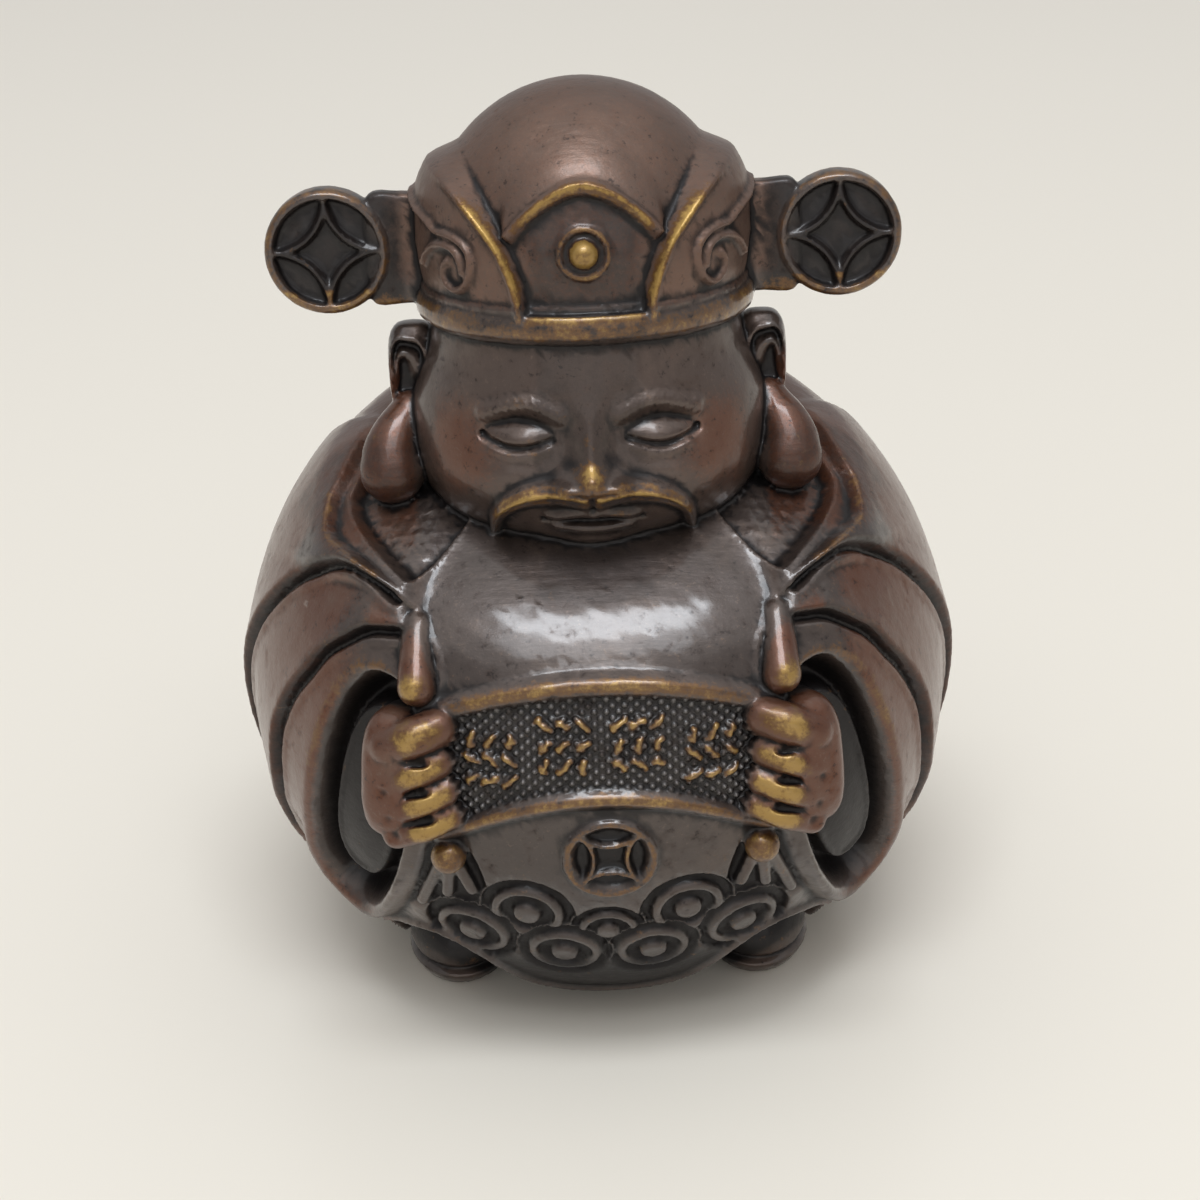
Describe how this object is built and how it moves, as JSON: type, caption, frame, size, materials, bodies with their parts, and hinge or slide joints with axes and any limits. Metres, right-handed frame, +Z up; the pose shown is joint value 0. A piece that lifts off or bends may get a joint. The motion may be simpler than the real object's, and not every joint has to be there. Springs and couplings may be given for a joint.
{
  "type": "god of wealth statue",
  "caption": "Round pocket figurine of the god of wealth in dark antiqued brass, with a winged official's hat and an open scroll over the belly; stands on its flat underside.",
  "frame": {"origin": "middle of the figure's box, on the flat underside that it stands on", "axes": "+Z up, the figure faces -Y, +X to the viewer's right"},
  "size_m": [0.049, 0.046, 0.0616],
  "materials": {
    "antiqued_brass": "dark brown patina, nearly black in the recesses and brassy on the worn edges, under a satin lacquer"
  },
  "bodies": {
    "root": {"wealth_god_figure": "antiqued_brass"}
  },
  "joints": []
}
